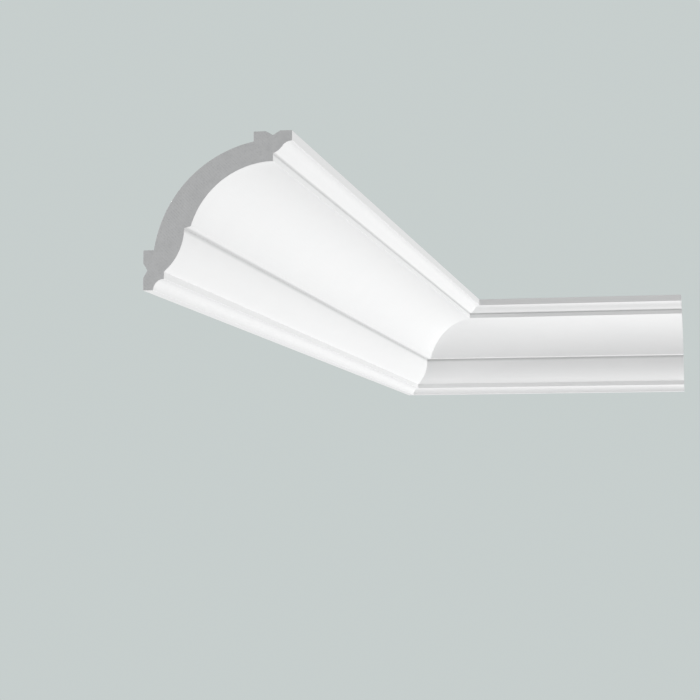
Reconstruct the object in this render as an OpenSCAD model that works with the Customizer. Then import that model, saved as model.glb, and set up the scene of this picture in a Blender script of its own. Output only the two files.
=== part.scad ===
// Cornice moulding turning an inside corner: two lengths of one profile, mitred together.
// Millimetres, +Z up. The origin is the corner of the room at the moulding's lower edge:
// the left-hand wall is the plane x = 0, the right-hand wall is the plane y = 0, and the
// ceiling is the plane z = drop. The room is on the +X, -Y side.

/* [Overall] */
// Height of the moulding down the wall
drop = 100; // [80:0.5:140]
// Distance the moulding stands out along the ceiling
projection = 97.5; // [78:0.5:140]
// Length of the left-hand piece, from the corner to its square end
left_run = 1000; // [300:10:2000]
// Length of the right-hand piece, from the corner to its square end
right_run = 320; // [200:10:2000]

/* [Upper mouldings] */
// Height of the flat face under the ceiling
fascia_h = 6.8; // [3:0.1:15]
// Depth of the small S-curve, from the flat face back to the upper fillet
cyma_w = 12.4; // [10:0.1:15]
// Height of the small S-curve
cyma_h = 7.65; // [6.5:0.05:9]
// Radius of the hollow half of the S-curve
cyma_hollow_r = 7.8; // [7:0.1:9]
// Radius of the round half of the S-curve
cyma_round_r = 11.6; // [9:0.1:16]
// Height of the fillet between the S-curve and the cove
upper_fillet_h = 5.15; // [2:0.05:10]

/* [Lower mouldings] */
// Depth of the ledge under the cove
ledge_w = 4.35; // [2:0.05:8]
// Rise of the ledge from the rounded moulding out to its nose
ledge_rise = 0.95; // [0:0.05:3]
// Height of the rounded moulding under the ledge
ovolo_h = 27.65; // [18:0.05:34]
// Depth of the rounded moulding, from its top to its foot
ovolo_w = 13.1; // [8:0.05:18]
// Height of the fillet under the rounded moulding
lower_fillet_h = 4.7; // [2:0.05:10]
// Radius of the quarter hollow at the lower edge
cavetto_r = 7.15; // [4:0.05:10]
// Thickness left at the lower edge, against the wall
toe_t = 6.8; // [4:0.1:12]

/* [Back] */
// Thickness of the cove at its middle
web_t = 16.1; // [8:0.1:24]
// Width of the band that bears on the ceiling
ceiling_band_w = 25.2; // [18:0.1:32]
// Height of the band that bears on the wall
wall_band_h = 25.9; // [18:0.1:32]
// Step from the ceiling band down to the hollow back
ceiling_band_t = 6.4; // [3:0.1:12]
// Step from the wall band out to the hollow back
wall_band_t = 7; // [3:0.1:12]
// Width of the adhesive key, the V-groove along each band
key_w = 9.2; // [4:0.1:14]
// Depth of the adhesive key
key_d = 2.8; // [1:0.1:5]

/* [Hidden] */

// Reach of a cutting shape past the faces that it cuts
over = 5;
// Overlap where the two arcs of the S-curve run into each other
arc_overlap = 0.01;
// Segments of a full circle
$fn = 180;

// Faces and levels of the profile, from the wall and from the lower edge
lower_fillet_x = toe_t + cavetto_r;
ovolo_x = lower_fillet_x + ovolo_w;
nose_x = ovolo_x + ledge_w;
upper_fillet_x = projection - cyma_w;
ceiling_band_x = projection - ceiling_band_w;
ovolo_foot_z = cavetto_r + lower_fillet_h;
ledge_z = ovolo_foot_z + ovolo_h;
nose_z = ledge_z + ledge_rise;
fascia_z = drop - fascia_h;
cyma_z = fascia_z - cyma_h;
cove_top_z = cyma_z - upper_fillet_h;

// The cove leaves the upper fillet level and ends at the nose
cove_w = upper_fillet_x - nose_x;
cove_h = cove_top_z - nose_z;
cove_r = (cove_w ^ 2 + cove_h ^ 2) / (2 * cove_h);
cove_c = [upper_fillet_x, cove_top_z - cove_r];

// The rounded moulding leaves the ledge plumb and ends at the lower fillet
ledge_slope = ledge_rise / ledge_w;
ovolo_r = (ovolo_w ^ 2 + ovolo_h ^ 2) / (2 * ovolo_w);
ovolo_c = [ovolo_x - ovolo_r, ledge_z];

// The hollow of the S-curve leaves the flat face level, and its round ends at the fillet
cyma_foot = [upper_fillet_x, cyma_z];
cyma_hollow_c = [projection, fascia_z - cyma_hollow_r];
cyma_round_c = crossing(cyma_hollow_c, cyma_hollow_r + cyma_round_r, cyma_foot, cyma_round_r);
cyma_joint = cyma_hollow_c
    + (cyma_round_c - cyma_hollow_c) * cyma_hollow_r / (cyma_hollow_r + cyma_round_r);

// The hollow back is one arc from band to band, web_t behind the middle of the cove
back_top = [ceiling_band_x, drop - ceiling_band_t];
back_foot = [wall_band_t, wall_band_h];
back_middle = cove_c + (cove_r + web_t) * [-cos(45), sin(45)];
back_c = centre_through(back_top, back_middle, back_foot);
back_r = norm(back_top - back_c);

// Where two circles cross, on the right of the way from the first centre to the second
function crossing(c1, r1, c2, r2) =
    let (way = (c2 - c1) / norm(c2 - c1),
         along = (norm(c2 - c1) ^ 2 + r1 ^ 2 - r2 ^ 2) / (2 * norm(c2 - c1)),
         aside = sqrt(r1 ^ 2 - along ^ 2))
    c1 + along * way + aside * [way[1], -way[0]];

// Centre of the circle through three points
function centre_through(a, b, c) =
    let (p = b - a, q = c - a, k = 2 * (p[0] * q[1] - p[1] * q[0]))
    a + [q[1] * (p * p) - p[1] * (q * q), p[0] * (q * q) - q[0] * (p * p)] / k;

module disc(centre, r) {
    translate(centre) circle(r);
}

// Rounded moulding, fillet and quarter hollow, from the ledge to the lower edge
module lower_mouldings() {
    difference() {
        union() {
            square([lower_fillet_x, ledge_z]);
            intersection() {
                square([ovolo_x + over, nose_z]);
                disc(ovolo_c, ovolo_r);
            }
        }
        disc([lower_fillet_x, 0], cavetto_r);
    }
}

// Cove with the ledge at its foot and the fillet at its head, up to the ceiling
module cove_member() {
    difference() {
        polygon([
            [0, ledge_z - ledge_slope * ovolo_x],
            [upper_fillet_x, ledge_z + ledge_slope * (upper_fillet_x - ovolo_x)],
            [upper_fillet_x, drop],
            [0, drop]
        ]);
        disc(cove_c, cove_r);
    }
}

// S-curve and the flat face over it
module upper_mouldings() {
    difference() {
        union() {
            polygon([
                cyma_foot, cyma_joint, [projection, fascia_z],
                [projection, drop], [upper_fillet_x, drop]
            ]);
            intersection() {
                translate([upper_fillet_x, 0]) square([cyma_w, drop]);
                disc(cyma_round_c, cyma_round_r + arc_overlap);
            }
        }
        disc(cyma_hollow_c, cyma_hollow_r);
    }
}

// Space behind the moulding, between its two bands
module hollow_back() {
    difference() {
        translate([-over, wall_band_h])
            square([ceiling_band_x + over, drop - wall_band_h + over]);
        disc(back_c, back_r);
    }
}

// V-groove that takes the adhesive, cut down into a face at height 0
module adhesive_key() {
    reach = key_w / 2 * (key_d + over) / key_d;
    polygon([[0, -key_d], [reach, over], [-reach, over]]);
}

// Section of the moulding: x is out from the wall, y is up from the lower edge
module profile() {
    difference() {
        union() {
            lower_mouldings();
            cove_member();
            upper_mouldings();
        }
        hollow_back();
        translate([projection - ceiling_band_w / 2, drop]) adhesive_key();
        translate([0, wall_band_h / 2]) rotate(90) adhesive_key();
    }
}

// A length on the left-hand wall: its square end is at y = -run, and its other end is
// cut to the mitre that halves the corner
module mitred_length(run) {
    difference() {
        rotate([90, 0, 0]) linear_extrude(run) profile();
        translate([0, 0, -over]) linear_extrude(drop + 2 * over)
            polygon([
                [-over, over], [projection + over, over],
                [projection + over, -projection - over]
            ]);
    }
}

module left_hand_length() {
    color("white") mitred_length(left_run);
}

// The same length seen across the mitre lies on the right-hand wall
module right_hand_length() {
    color("whitesmoke") mirror([1, 1, 0]) mitred_length(right_run);
}

left_hand_length();
right_hand_length();
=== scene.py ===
import math

import bmesh
import bpy
from mathutils import Matrix, Vector, noise


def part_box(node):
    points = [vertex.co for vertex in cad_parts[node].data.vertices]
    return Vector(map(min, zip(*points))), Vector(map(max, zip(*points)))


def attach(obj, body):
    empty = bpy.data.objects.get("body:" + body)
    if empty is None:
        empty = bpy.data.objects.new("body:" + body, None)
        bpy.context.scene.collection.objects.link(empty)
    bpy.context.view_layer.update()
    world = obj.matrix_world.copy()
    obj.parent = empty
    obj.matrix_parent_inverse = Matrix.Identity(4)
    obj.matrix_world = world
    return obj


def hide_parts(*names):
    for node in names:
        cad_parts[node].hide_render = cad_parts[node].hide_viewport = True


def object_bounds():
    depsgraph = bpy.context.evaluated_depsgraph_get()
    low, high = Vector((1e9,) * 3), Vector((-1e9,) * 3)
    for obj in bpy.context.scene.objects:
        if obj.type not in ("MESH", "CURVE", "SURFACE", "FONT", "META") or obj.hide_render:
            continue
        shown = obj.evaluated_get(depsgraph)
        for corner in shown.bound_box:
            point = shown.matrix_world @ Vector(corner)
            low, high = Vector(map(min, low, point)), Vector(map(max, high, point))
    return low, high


# Cornice moulding that turns an inside corner: a long left-hand length and a short
# right-hand length of one profile, mitred together. Metres, +Z up. The left-hand wall is
# x = 0, the right-hand wall is y = 0, and the room is on the +X, -Y side.

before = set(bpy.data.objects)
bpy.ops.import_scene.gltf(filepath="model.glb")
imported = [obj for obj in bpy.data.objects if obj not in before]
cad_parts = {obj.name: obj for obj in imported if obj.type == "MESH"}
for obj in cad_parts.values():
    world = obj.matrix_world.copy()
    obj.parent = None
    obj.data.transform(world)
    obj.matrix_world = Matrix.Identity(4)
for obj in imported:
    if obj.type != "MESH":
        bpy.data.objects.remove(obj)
cad_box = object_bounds()


# ---------------------------------------------------------------- Left-hand length
# The long length, on the left-hand wall. It is extruded rigid foam, grey right through, with
# white primer sprayed on its room side. It is sawn square at one end and to a mitre at the
# other, and adhesive in the V-grooves of its two bands holds it to the wall and the ceiling.

left_low, left_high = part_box("left_hand_length")
projection = left_high.x
drop = left_high.z
left_run = -left_low.y

# Upper mouldings
fascia_height = 0.0068
cyma_depth = 0.0124
cyma_height = 0.00765
cyma_hollow_radius = 0.0078
cyma_round_radius = 0.0116
upper_fillet_height = 0.00515

# Lower mouldings
ledge_depth = 0.00435
ledge_rise = 0.00095
ovolo_height = 0.02765
ovolo_depth = 0.0131
lower_fillet_height = 0.0047
cavetto_radius = 0.00715
toe_thickness = 0.0068

# Hidden side
web_thickness = 0.0161
ceiling_band_width = 0.0252
wall_band_height = 0.0259
ceiling_band_step = 0.0064
wall_band_step = 0.007
key_width = 0.0092
key_depth = 0.0028

# Arrises: rounded by the die, and torn a little by the square cut
arris_radius = 0.0004
sawn_arris = 0.00012
tear_depth = 0.0003
tear_spacing = 0.0015


def crossing(first, first_radius, second, second_radius):
    """Where two circles cross, on the right of the way from the first centre to the second."""
    way = second - first
    apart = way.length
    way.normalize()
    along = (apart ** 2 + first_radius ** 2 - second_radius ** 2) / (2 * apart)
    aside = math.sqrt(first_radius ** 2 - along ** 2)
    return first + along * way + aside * Vector((way.y, -way.x))


def centre_through(a, b, c):
    """The centre of the circle through three points."""
    p = b - a
    q = c - a
    k = 2 * (p.x * q.y - p.y * q.x)
    return a + Vector((q.y * p.dot(p) - p.y * q.dot(q), p.x * q.dot(q) - q.x * p.dot(p))) / k


def sweep(centre, start, end, facet=0.0012):
    """Points on the short arc from start up to, but not including, end."""
    arm = start - centre
    first = math.atan2(arm.y, arm.x)
    last = math.atan2(end.y - centre.y, end.x - centre.x)
    turn = (last - first + math.pi) % (2 * math.pi) - math.pi
    count = max(2, round(abs(turn) * arm.length / facet))
    angles = [first + turn * i / count for i in range(count)]
    return [centre + arm.length * Vector((math.cos(a), math.sin(a))) for a in angles]


# Corners of the room side, as (out from the wall, up from the lower edge)
toe = Vector((toe_thickness, 0))
lower_fillet_foot = Vector((toe_thickness + cavetto_radius, cavetto_radius))
ovolo_foot = lower_fillet_foot + Vector((0, lower_fillet_height))
ledge = ovolo_foot + Vector((ovolo_depth, ovolo_height))
nose = ledge + Vector((ledge_depth, ledge_rise))
cyma_top = Vector((projection, drop - fascia_height))
cyma_foot = cyma_top - Vector((cyma_depth, cyma_height))
cove_top = cyma_foot - Vector((0, upper_fillet_height))

# The ovolo leaves the ledge plumb, and the cove leaves the upper fillet level
ovolo_radius = (ovolo_depth ** 2 + ovolo_height ** 2) / (2 * ovolo_depth)
ovolo_centre = ledge - Vector((ovolo_radius, 0))
cove_size = cove_top - nose
cove_radius = cove_size.dot(cove_size) / (2 * cove_size.y)
cove_centre = cove_top - Vector((0, cove_radius))

# The cyma is a hollow that leaves the flat face level, then a round
hollow_centre = cyma_top - Vector((0, cyma_hollow_radius))
both_radii = cyma_hollow_radius + cyma_round_radius
round_centre = crossing(hollow_centre, both_radii, cyma_foot, cyma_round_radius)
cyma_middle = hollow_centre.lerp(round_centre, cyma_hollow_radius / both_radii)

room_side = [
    Vector((0, 0)),
    toe,
    *sweep(Vector((lower_fillet_foot.x, 0)), toe, lower_fillet_foot)[1:],
    lower_fillet_foot,
    *sweep(ovolo_centre, ovolo_foot, ledge),
    ledge,
    *sweep(cove_centre, nose, cove_top),
    cove_top,
    *sweep(round_centre, cyma_foot, cyma_middle),
    *sweep(hollow_centre, cyma_middle, cyma_top),
    cyma_top,
]

# Corners of the hidden side, whose hollow back is one arc from band to band
back_top = Vector((projection - ceiling_band_width, drop - ceiling_band_step))
back_foot = Vector((wall_band_step, wall_band_height))
back_middle = cove_centre + (cove_radius + web_thickness) * Vector((-1, 1)).normalized()
back_centre = centre_through(back_top, back_middle, back_foot)
ceiling_key = Vector((projection - ceiling_band_width / 2, drop))
wall_key = Vector((0, wall_band_height / 2))

hidden_side = [
    Vector((projection, drop)),
    ceiling_key + Vector((key_width / 2, 0)),
    ceiling_key - Vector((0, key_depth)),
    ceiling_key - Vector((key_width / 2, 0)),
    Vector((back_top.x, drop)),
    *sweep(back_centre, back_top, back_foot),
    back_foot,
    Vector((0, wall_band_height)),
    wall_key + Vector((0, key_width / 2)),
    wall_key + Vector((key_depth, 0)),
    wall_key - Vector((0, key_width / 2)),
]

# Finishes of a length, in the order of its material slots
PRIMED = 0
RAW = 1
SAWN = 2


def turned(direction, angle):
    """A direction of the section turned to the left by an angle."""
    return Matrix.Rotation(angle, 2) @ direction


def eased(outline, radius, crease=math.radians(12), facets=4):
    """The outline, as (point, finish of the stretch after it), with every arris rounded."""
    result = []
    for i, (corner, finish) in enumerate(outline):
        before, finish_before = outline[i - 1]
        after = outline[(i + 1) % len(outline)][0]
        arriving = (corner - before).normalized()
        leaving = (after - corner).normalized()
        turn = math.atan2(arriving.cross(leaving), arriving.dot(leaving))
        if abs(turn) < crease:
            result.append((corner, finish))
            continue
        start = corner - arriving * radius * math.tan(abs(turn) / 2)
        centre = start + turned(arriving, math.copysign(math.pi / 2, turn)) * radius
        arris_finish = min(finish, finish_before)
        for k in range(facets):
            result.append((centre + turned(start - centre, turn * k / facets), arris_finish))
        result.append((centre + turned(start - centre, turn), finish))
    return result


def drawn_in(outline, depth, tear):
    """The outline's points moved into the solid by a depth, and unevenly by up to a tear more."""
    result = []
    for i, (point, _) in enumerate(outline):
        way = outline[(i + 1) % len(outline)][0] - outline[i - 1][0]
        uneven = abs(noise.noise(Vector((point.x, point.y, 0)) / tear_spacing))
        inwards = turned(way.normalized(), math.pi / 2)
        result.append(point + inwards * (depth + tear * uneven))
    return result


outline = [(point, PRIMED) for point in room_side]
outline += [(point, RAW) for point in hidden_side]
section = eased(outline, arris_radius)


def moulding(name, run, in_room, spacing=0.02):
    """A length from its square end, a run away from the corner, to its mitre.

    in_room puts a place on the moulding, as (out, up, along from the corner), in the room.
    """
    points = [point for point, _ in section]
    square_end = run - sawn_arris
    straight = square_end - projection
    count = round(straight / spacing)
    rings = [[(p.x, p.y, run) for p in drawn_in(section, sawn_arris, tear_depth)]]
    for k in range(count):
        rings.append([(p.x, p.y, square_end - straight * k / count) for p in points])
    rings.append([(p.x, p.y, p.x + sawn_arris) for p in points])
    rings.append([(p.x, p.y, p.x) for p in drawn_in(section, sawn_arris, 0)])

    bm = bmesh.new()
    place = bm.verts.layers.float_vector.new("place")
    rows = []
    for ring in rings:
        row = []
        for spot in ring:
            vertex = bm.verts.new(in_room(*spot))
            vertex[place] = spot
            row.append(vertex)
        rows.append(row)
    for row, further in zip(rows, rows[1:]):
        for i, (_, finish) in enumerate(section):
            j = (i + 1) % len(section)
            face = bm.faces.new((row[i], row[j], further[j], further[i]))
            face.material_index = finish
    for row in (rows[0], rows[-1]):
        face = bm.faces.new(row)
        face.material_index = SAWN
    bmesh.ops.recalc_face_normals(bm, faces=bm.faces)
    for face in bm.faces:
        face.smooth = True
    mesh = bpy.data.meshes.new(name)
    bm.to_mesh(mesh)
    bm.free()

    piece = bpy.data.objects.new(name, mesh)
    bpy.context.collection.objects.link(piece)
    for material in (primer, raw_foam, sawn_foam):
        mesh.materials.append(material)
    shading = piece.modifiers.new("flats stay flat", "WEIGHTED_NORMAL")
    shading.mode = "FACE_AREA"
    shading.weight = 100
    return piece


def add(tree, kind, inputs, **settings):
    """A node of a kind, with its settings, its inputs set to values or joined to sockets."""
    node = tree.nodes.new(kind)
    for key, value in settings.items():
        setattr(node, key, value)
    for key, value in inputs.items():
        if isinstance(value, bpy.types.NodeSocket):
            tree.links.new(value, node.inputs[key])
        else:
            node.inputs[key].default_value = value
    return node


def maths(tree, operation, first, second):
    """The result of an operation on two values."""
    return add(tree, "ShaderNodeMath", {0: first, 1: second}, operation=operation).outputs["Value"]


def ramp(tree, value, start, end, low=0.0, high=1.0):
    """A value that goes from low to high as another goes from start to end, and no further."""
    sockets = {"Value": value, "From Min": start, "From Max": end, "To Min": low, "To Max": high}
    return add(tree, "ShaderNodeMapRange", sockets).outputs["Result"]


def vectors(tree, operation, first, second, output="Vector"):
    """The result of an operation on two vectors."""
    inputs = {0: first, 1: second}
    return add(tree, "ShaderNodeVectorMath", inputs, operation=operation).outputs[output]


def mixed(tree, mask, first, second):
    """A colour that goes from the first to the second as a mask goes from 0 to 1."""
    sockets = {"Factor": mask, 6: first, 7: second}  # 6 and 7 are the node's colour inputs
    return add(tree, "ShaderNodeMix", sockets, data_type="RGBA").outputs[2]


def clouds(tree, place, detail):
    """Noise with features about 1 across."""
    sockets = {"Vector": place, "Scale": 1.0, "Detail": detail}
    return add(tree, "ShaderNodeTexNoise", sockets).outputs["Fac"]


def effect(name, inputs, output):
    """A new node group: its tree, its inputs' sockets and its output's sockets."""
    tree = bpy.data.node_groups.new(name, "ShaderNodeTree")
    for socket, kind in inputs.items():
        tree.interface.new_socket(name=socket, in_out="INPUT", socket_type=kind)
    tree.interface.new_socket(name=output, in_out="OUTPUT", socket_type="NodeSocketFloat")
    return tree, tree.nodes.new("NodeGroupInput").outputs, tree.nodes.new("NodeGroupOutput").inputs


VECTOR = "NodeSocketVector"
NUMBER = "NodeSocketFloat"

# Fine even grain of one size, such as the orange peel of a sprayed primer
grain, given, result = effect("grain", {"Place": VECTOR, "Size": NUMBER}, "Grain")
scaled = vectors(grain, "DIVIDE", given["Place"], given["Size"])
grain.links.new(clouds(grain, scaled, 2.0), result["Grain"])

# Long lines down the run, which the extruder's die leaves
inputs = {"Place": VECTOR, "Width": NUMBER, "Length": NUMBER}
die_lines, given, result = effect("die lines", inputs, "Lines")
sizes = {"X": given["Width"], "Y": given["Width"], "Z": given["Length"]}
size = add(die_lines, "ShaderNodeCombineXYZ", sizes).outputs["Vector"]
drawn = vectors(die_lines, "DIVIDE", given["Place"], size)
die_lines.links.new(clouds(die_lines, drawn, 3.0), result["Lines"])

# Closed cells of the foam: 1 at the bottom of a cell and 0 on the walls between cells. The
# bottom ends and the walls start at these distances from a cell's middle, in cell sizes.
cell_bottom = 0.15
cell_wall = 0.6
foam_cells, given, result = effect("foam cells", {"Place": VECTOR, "Size": NUMBER}, "Pits")
scaled = vectors(foam_cells, "DIVIDE", given["Place"], given["Size"])
cells = add(foam_cells, "ShaderNodeTexVoronoi", {"Vector": scaled, "Scale": 1.0})
pits = ramp(foam_cells, cells.outputs["Distance"], cell_bottom, cell_wall, low=1.0, high=0.0)
foam_cells.links.new(pits, result["Pits"])

# Painted shade for a quirk of the section, where shade falls in the inside corner: 0 in the quirk,
# and 1 from the reach outwards
inputs = {"Place": VECTOR, "Quirk": VECTOR, "Reach": NUMBER}
painted_quirk_shade, given, result = effect("painted quirk shade", inputs, "Unshaded")
across = vectors(painted_quirk_shade, "MULTIPLY", given["Place"], (1, 1, 0))
gap = vectors(painted_quirk_shade, "DISTANCE", across, given["Quirk"], output="Value")
sockets = {"Value": gap, "From Max": given["Reach"]}
film_and_shade = add(painted_quirk_shade, "ShaderNodeMapRange", sockets, interpolation_type="SMOOTHSTEP")
painted_quirk_shade.links.new(film_and_shade.outputs["Result"], result["Unshaded"])


def surface(name):
    """A new material with its tree, its shader and the place on the moulding that it follows."""
    material = bpy.data.materials.new(name)
    material.use_nodes = True
    tree = material.node_tree
    shader = tree.nodes["Principled BSDF"]
    place = add(tree, "ShaderNodeAttribute", {}, attribute_name="place").outputs["Vector"]
    return material, tree, shader, place


def texture(tree, group, **sockets):
    """What a node group puts out, with its inputs set."""
    return add(tree, "ShaderNodeGroup", sockets, node_tree=group).outputs[0]


def bumped(tree, height, depth, over=None):
    """A normal from a height of a depth in metres, laid over another normal."""
    sockets = {"Height": height, "Distance": depth, "Strength": 1.0}
    if over:
        sockets["Normal"] = over
    return add(tree, "ShaderNodeBump", sockets).outputs["Normal"]


# White primer: a matt film over fine orange peel. Its colour is darkened in the two quirks,
# under the nose and under the cyma, as painted shade for these inside corners.
primer_white = (0.868, 0.87, 0.87, 1)
primer_thin = (0.846, 0.85, 0.852, 1)
# The grey of the painted shade in the quirks
painted_shade_in_quirk = (0.6, 0.605, 0.605, 1)
thin_roughness = 0.78
full_roughness = 0.66
primer, tree, shader, place = surface("white primer")
shader.inputs["Specular IOR Level"].default_value = 0.25
# Painted shade: the primer turns grey towards the bottom of each quirk
painted_shade_under_nose = texture(tree, painted_quirk_shade, Place=place, Quirk=(*ledge, 0), Reach=0.0035)
painted_shade_under_cyma = texture(tree, painted_quirk_shade, Place=place, Quirk=(*cyma_foot, 0), Reach=0.002)
painted_shade_mask = maths(tree, "MINIMUM", painted_shade_under_nose, painted_shade_under_cyma)
film_and_shade = texture(tree, grain, Place=place, Size=0.045)
coat = mixed(tree, painted_shade_mask, painted_shade_in_quirk, mixed(tree, film_and_shade, primer_thin, primer_white))
peel = texture(tree, grain, Place=place, Size=0.0012)
lines = texture(tree, die_lines, Place=place, Width=0.0022, Length=0.3)
relief = bumped(tree, lines, depth=0.00005, over=bumped(tree, peel, depth=0.00004))
tree.links.new(coat, shader.inputs["Base Color"])
matt = ramp(tree, film_and_shade, 0, 1, thin_roughness, full_roughness)
tree.links.new(matt, shader.inputs["Roughness"])
tree.links.new(relief, shader.inputs["Normal"])

# Raw foam: the grey skin from the die, with overspray of primer lapping its edges
skin_grey = (0.645, 0.653, 0.66, 1)
skin_dark = (0.56, 0.568, 0.575, 1)
rubbed = 0.04  # mottle times die lines, where the skin is at its darkest
fresh = 0.44  # and the same where it is at its lightest
primer_lap = 0.007
primer_stray = 0.003
raw_foam, tree, shader, place = surface("raw foam")
shader.inputs["Roughness"].default_value = 0.75
mottle = texture(tree, grain, Place=place, Size=0.02)
lines = texture(tree, die_lines, Place=place, Width=0.0015, Length=0.12)
pits = texture(tree, foam_cells, Place=place, Size=0.0009)
shade = ramp(tree, maths(tree, "MULTIPLY", mottle, lines), rubbed, fresh)
skin = mixed(tree, shade, skin_dark, skin_grey)
axes = add(tree, "ShaderNodeSeparateXYZ", {"Vector": place}).outputs
past_fascia = maths(tree, "SUBTRACT", axes["X"], projection)
past_toe = maths(tree, "SUBTRACT", 0.0, axes["Y"])
patches = texture(tree, grain, Place=place, Size=0.011)
stray = ramp(tree, patches, 0, 1, -primer_stray, primer_stray)
past_edge = maths(tree, "ADD", maths(tree, "MAXIMUM", past_fascia, past_toe), stray)
mist = ramp(tree, past_edge, -primer_lap, 0.0)
sprayed = mixed(tree, maths(tree, "MULTIPLY", mist, mist), skin, primer_white)
relief = bumped(tree, lines, depth=0.00012, over=bumped(tree, pits, depth=-0.00006))
tree.links.new(sprayed, shader.inputs["Base Color"])
tree.links.new(relief, shader.inputs["Normal"])

# Sawn foam: open cells of two sizes, crossed by the fine marks of a mitre saw. Its grey mottles at
# random and is darker in the pits of the cells, which is painted shade.
foam_grey = (0.66, 0.667, 0.672, 1)
foam_dark = (0.57, 0.577, 0.582, 1)
darkest = 0.2  # share of foam_grey in a deep pit or the darkest mottle
lightest = 1.4  # and in the lightest mottle, where it is held at 1
saw_tooth = 0.0011
wave_period = math.pi / 10  # of a wave texture whose scale is 1
sawn_foam, tree, shader, place = surface("sawn foam")
shader.inputs["Roughness"].default_value = 0.85
small_pits = texture(tree, foam_cells, Place=place, Size=0.00045)
large_pits = texture(tree, foam_cells, Place=place, Size=0.0016)
pits = maths(tree, "MULTIPLY", small_pits, large_pits)
mottle = texture(tree, grain, Place=place, Size=0.008)
# Painted shade: the colour darkens in the pits of the cells, over the foam's own random mottle
shade = ramp(tree, maths(tree, "SUBTRACT", mottle, pits), 0, 1, darkest, lightest)
strokes = add(tree, "ShaderNodeTexWave", {
    "Vector": place, "Scale": wave_period / saw_tooth, "Distortion": 1.5, "Detail Scale": 0.1,
}, bands_direction="DIAGONAL").outputs["Fac"]
relief = bumped(tree, strokes, depth=0.00004, over=bumped(tree, pits, depth=-0.00009))
tree.links.new(mixed(tree, shade, foam_dark, foam_grey), shader.inputs["Base Color"])
tree.links.new(relief, shader.inputs["Normal"])

left = moulding("left_hand_moulding", left_run, lambda out, up, along: (out, -along, up))
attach(left, "root")
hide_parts("left_hand_length")


# ---------------------------------------------------------------- Right-hand length
# The short length, on the right-hand wall: the same foam and primer, cut from the same bar.
# Its mitre is glued face to face to the left-hand one, so only a hairline shows.

right_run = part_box("right_hand_length")[1].x
right = moulding("right_hand_moulding", right_run, lambda out, up, along: (along, -out, up))
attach(right, "root")
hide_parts("right_hand_length")


# ---------------------------------------------------------------- Studio
# The moulding hangs where a ceiling would be, over a plain pale floor a storey below. Light
# is even all round, with a large soft lamp low on the right and three weaker ones: low on
# the left, beside the sawn end, and behind.

ceiling_height = 3.5
floor_radius = 25.0
floor_colour = (0.8, 0.8, 0.8, 1)
backdrop_colour = (0.57, 0.62, 0.612, 1)
floor_glow = (0.17, 0.22, 0.213, 1)
even_light = 0.625
lamp_spread = math.radians(110)

bpy.ops.mesh.primitive_circle_add(
    vertices=128, radius=floor_radius, fill_type="NGON", location=(0, 0, drop - ceiling_height)
)
floor = bpy.context.object
floor.name = "floor"
floor_paint = bpy.data.materials.new("floor paint")
floor_paint.use_nodes = True
tree = floor_paint.node_tree
shader = tree.nodes["Principled BSDF"]
shader.inputs["Base Color"].default_value = floor_colour
shader.inputs["Roughness"].default_value = 0.9
shader.inputs["Specular IOR Level"].default_value = 0.0
shader.inputs["Emission Color"].default_value = floor_glow
path = add(tree, "ShaderNodeLightPath", {}).outputs
tree.links.new(path["Is Camera Ray"], shader.inputs["Emission Strength"])
floor.data.materials.append(floor_paint)

world = bpy.data.worlds.new("studio")
bpy.context.scene.world = world
world.use_nodes = True
tree = world.node_tree
tree.nodes.clear()
around = add(tree, "ShaderNodeBackground", {"Strength": even_light})
seen = add(tree, "ShaderNodeBackground", {"Color": backdrop_colour})
path = add(tree, "ShaderNodeLightPath", {}).outputs
mirrored = maths(tree, "MAXIMUM", path["Is Glossy Ray"], path["Is Transmission Ray"])
view = maths(tree, "MAXIMUM", path["Is Camera Ray"], mirrored)
backdrop = add(tree, "ShaderNodeMixShader", {
    0: view, 1: around.outputs["Background"], 2: seen.outputs["Background"],
})
add(tree, "ShaderNodeOutputWorld", {"Surface": backdrop.outputs["Shader"]})


def soft_lamp(name, place, target, size, power):
    """A square soft lamp at a place, facing a target."""
    data = bpy.data.lights.new(name, "AREA")
    data.shape = "SQUARE"
    data.size = size
    data.energy = power
    data.spread = lamp_spread
    lamp = bpy.data.objects.new(name, data)
    lamp.location = place
    lamp.rotation_euler = (target - place).to_track_quat("-Z", "Y").to_euler()
    bpy.context.collection.objects.link(lamp)


middle = (cad_box[0] + cad_box[1]) / 2
soft_lamp("lamp low on the right", middle + Vector((2.3, 0.5, -2.5)), middle, size=2.6, power=38.5)
soft_lamp("lamp low on the left", middle + Vector((-2.2, -0.9, -1.5)), middle, size=1.6, power=6.5)
soft_lamp("lamp at the sawn end", middle + Vector((-2.0, -2.0, -0.15)), middle, size=0.6, power=4.4)
soft_lamp("lamp behind", middle + Vector((-2.2, 0.5, 1.4)), middle, size=1.2, power=9)

# The camera stands in the room below the moulding and looks up a little to its left
lens = 92.58
sensor = 36.0
camera_place = Vector((0.3592, -2.0902, -0.1445))
look_up = math.radians(5.34)
look_left = math.radians(11.62)
lean = math.radians(-0.04)

camera_data = bpy.data.cameras.new("camera")
camera_data.lens = lens
camera_data.sensor_width = sensor
camera_data.clip_start = 0.05
camera_data.clip_end = 100
camera = bpy.data.objects.new("camera", camera_data)
camera.location = camera_place
camera.rotation_euler = (math.pi / 2 + look_up, lean, look_left)
bpy.context.collection.objects.link(camera)
bpy.context.scene.camera = camera
bpy.context.scene.view_settings.view_transform = "Standard"
